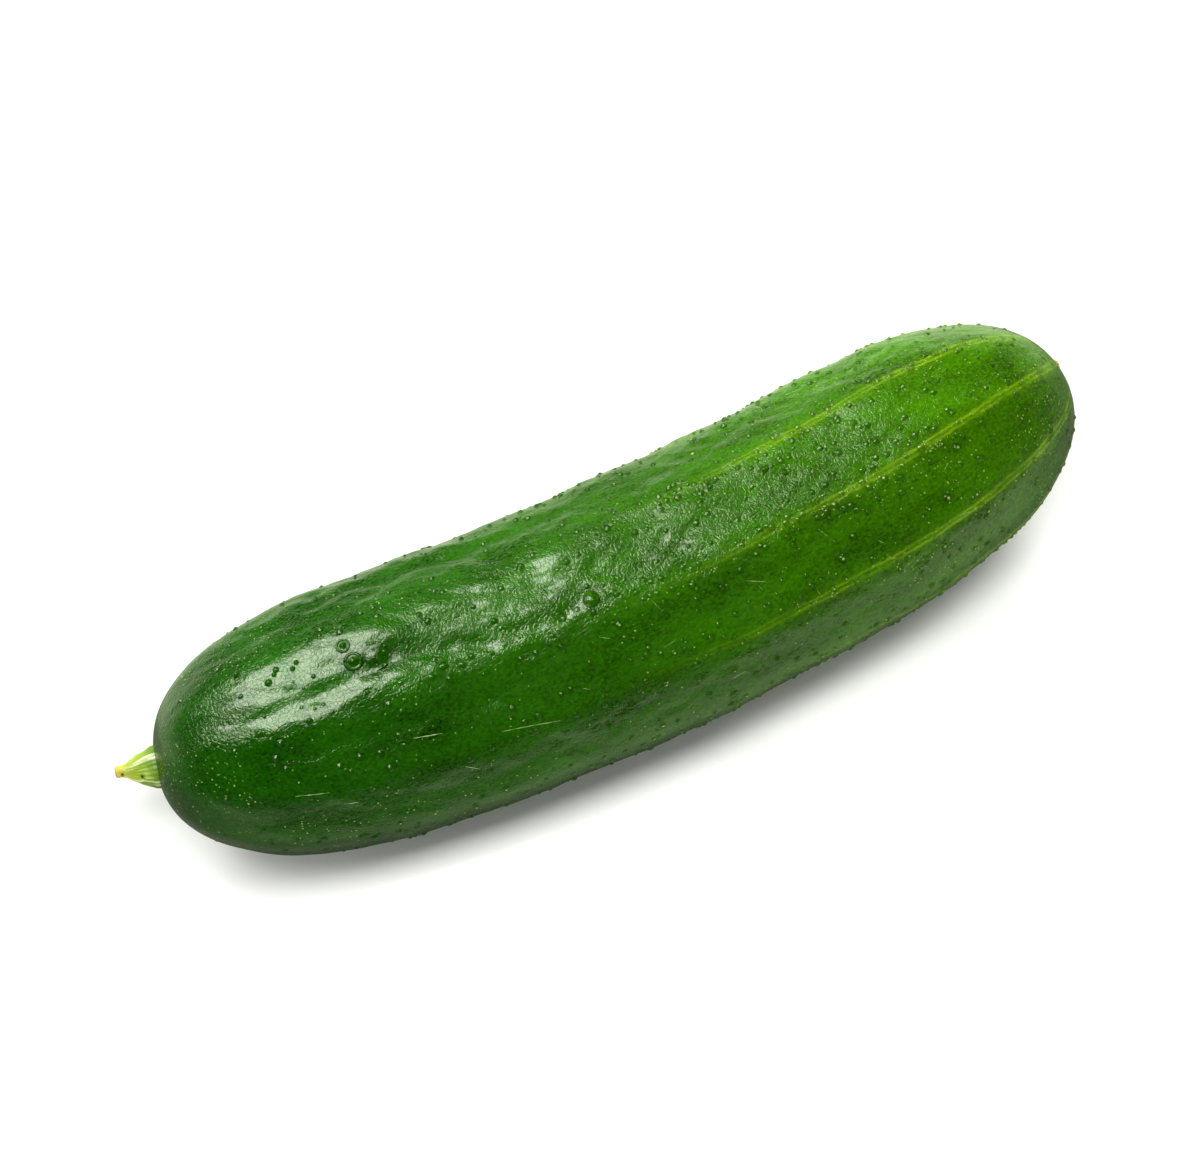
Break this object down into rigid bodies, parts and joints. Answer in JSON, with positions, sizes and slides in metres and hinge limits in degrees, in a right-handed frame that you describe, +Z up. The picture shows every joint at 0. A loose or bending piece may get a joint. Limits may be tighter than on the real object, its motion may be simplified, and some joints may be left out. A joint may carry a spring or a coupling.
{
  "type": "cucumber",
  "caption": "Whole fresh slicing cucumber lying on its side, gently bowed, with ridged warty dark green skin, a torn stalk stub and a dried flower scar.",
  "frame": {"origin": "on the resting surface, under the middle of the whole cucumber's box", "axes": "+X along the cucumber towards the flower end, +Y towards the hollow side of its bend, +Z up"},
  "size_m": [0.213, 0.059, 0.0534],
  "materials": {
    "skin": null,
    "stalk": "fresh pale yellow-green plant stalk, torn and fibrous",
    "flower_scar": "dry tan remains of the flower"
  },
  "bodies": {
    "root": {"fruit": "skin", "stalk": "stalk", "flower_scar": "flower_scar"}
  },
  "joints": []
}
